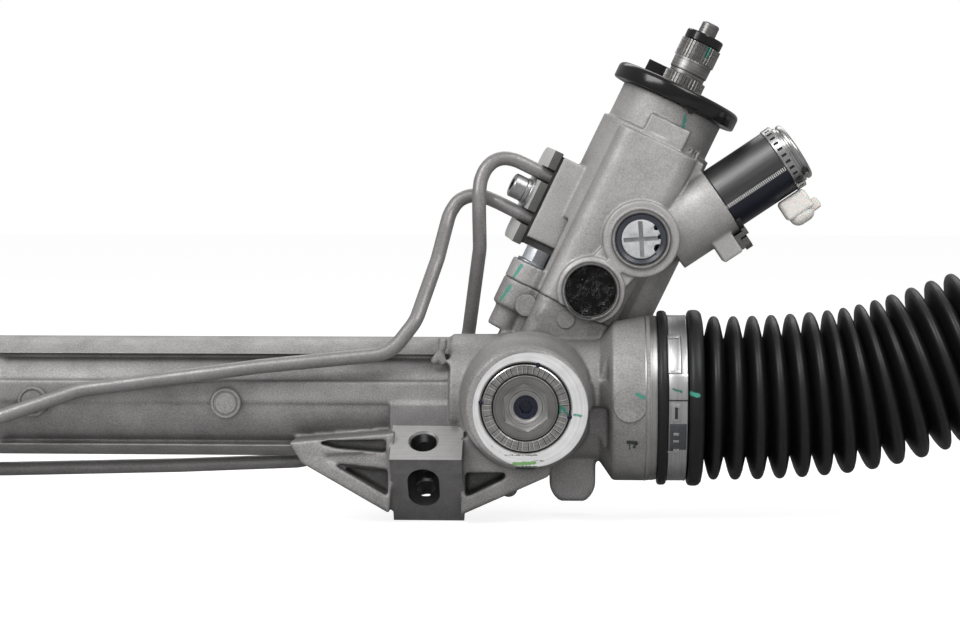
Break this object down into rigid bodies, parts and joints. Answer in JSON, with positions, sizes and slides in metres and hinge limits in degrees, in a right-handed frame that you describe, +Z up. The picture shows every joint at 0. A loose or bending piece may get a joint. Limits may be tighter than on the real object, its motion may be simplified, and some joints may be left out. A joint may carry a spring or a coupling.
{
  "type": "steering gear",
  "caption": "Hydraulic rack-and-pinion steering gear with cast aluminium housings, solenoid-controlled rotary valve, pipes, bellows and inner tie rods.",
  "frame": {"origin": "on the axis of the right mounting bolt's hole, in the middle of its upper wall", "axes": "+X along the rack towards the pinion end, +Z up, -Y the side with the support yoke and the mounting blocks"},
  "size_m": [1.1324, 0.0927, 0.2076],
  "materials": {
    "cast_aluminium": "die-cast, light grain, machined faces brighter",
    "zinc_steel": "zinc plated, satin",
    "bright_steel": "ground and turned",
    "grey_steel": "phosphated, dull",
    "dark_steel": "blackened",
    "gunmetal": "dark satin coat",
    "pipe_steel": "satin coated pipe",
    "stainless_band": "bright band",
    "seal_rubber": "smooth",
    "bellows_rubber": "moulded, soft sheen",
    "black_plastic": "moulded satin",
    "white_plastic": "moulded natural nylon",
    "clear_plastic": "cloudy translucent transport plug",
    "brown_ptfe": "filled PTFE"
  },
  "bodies": {
    "housing": {"rack_housing": "cast_aluminium", "valve_housing": "cast_aluminium", "flange_bolts": "zinc_steel", "flange_o_ring": "seal_rubber", "pinion_ball_bearing": "bright_steel", "pinion_needle_bearing": "bright_steel", "pinion_seal": "seal_rubber", "pinion_cap": "zinc_steel", "shaft_needle_bearing": "bright_steel", "shaft_seal": "seal_rubber", "dust_cap": "black_plastic", "support_yoke": "grey_steel", "yoke_o_ring": "seal_rubber", "yoke_spring": "grey_steel", "yoke_adjuster": "grey_steel", "yoke_lock_ring": "grey_steel", "adjuster_screw": "dark_steel", "rack_bush": "black_plastic", "inner_rack_seal": "seal_rubber", "cylinder_end_bush": "grey_steel", "end_retaining_ring": "dark_steel", "pipe_upper": "pipe_steel", "pipe_lower": "pipe_steel", "pipe_nuts": "zinc_steel", "union_plate": "zinc_steel", "union_bolt": "zinc_steel", "port_plug_upper": "clear_plastic", "port_plug_lower": "black_plastic", "solenoid_can": "gunmetal", "solenoid_cap": "bright_steel", "solenoid_connector": "white_plastic", "solenoid_clamp": "zinc_steel", "bellows_right": "bellows_rubber", "bellows_left": "bellows_rubber", "large_clamp_right": "stainless_band", "large_clamp_left": "stainless_band"},
    "pinion": {"pinion": "bright_steel", "valve_sleeve": "bright_steel", "sleeve_rings": "brown_ptfe", "torsion_bar": "dark_steel"},
    "input_shaft": {"input_shaft": "bright_steel", "shaft_ring": "black_plastic"},
    "rack": {"rack_bar": "bright_steel", "piston": "dark_steel", "piston_ring": "brown_ptfe", "joint_housing_right": "dark_steel", "joint_housing_left": "dark_steel"},
    "seat_right": {"ball_seat_right": "white_plastic"},
    "seat_left": {"ball_seat_left": "white_plastic"},
    "tie_rod_right": {"tie_rod_right": "zinc_steel", "jam_nut_right": "zinc_steel", "small_clamp_right": "stainless_band"},
    "tie_rod_left": {"tie_rod_left": "zinc_steel", "jam_nut_left": "zinc_steel", "small_clamp_left": "stainless_band"}
  },
  "joints": [
    {"name": "rack_slide", "type": "slide", "parent": "housing", "child": "rack", "axis": [1, 0, 0], "range_m": [-0.07, 0.07], "deforming": ["bellows_right", "bellows_left"]},
    {"name": "pinion_turn", "type": "hinge", "parent": "housing", "child": "pinion", "pos_m": [0.0427, 0.04629, 0.0178], "axis": [0.4352, 0, 0.9003], "range_deg": [-560, 560]},
    {"name": "valve_windup", "type": "hinge", "parent": "pinion", "child": "input_shaft", "pos_m": [0.0427, 0.04629, 0.0178], "axis": [0.4352, 0, 0.9003], "range_deg": [-4, 4], "stiffness_Nm_per_rad": 90},
    {"name": "rod_right_up_down", "type": "hinge", "parent": "rack", "child": "seat_right", "pos_m": [0.174, 0.0293, 0.0178], "axis": [0, -1, 0], "range_deg": [-46, 6]},
    {"name": "rod_right_fore_aft", "type": "hinge", "parent": "seat_right", "child": "tie_rod_right", "pos_m": [0.174, 0.0293, 0.0178], "axis": [-0.342, 0, 0.9397], "range_deg": [-20, 20]},
    {"name": "rod_left_up_down", "type": "hinge", "parent": "rack", "child": "seat_left", "pos_m": [-0.518, 0.0293, 0.0178], "axis": [0, 1, 0], "range_deg": [-26, 26]},
    {"name": "rod_left_fore_aft", "type": "hinge", "parent": "seat_left", "child": "tie_rod_left", "pos_m": [-0.518, 0.0293, 0.0178], "axis": [0, 0, 1], "range_deg": [-20, 20]}
  ],
  "couplings": [
    {"joint": "pinion_turn", "follows": "rack_slide", "rad_per_m": 136.05}
  ]
}
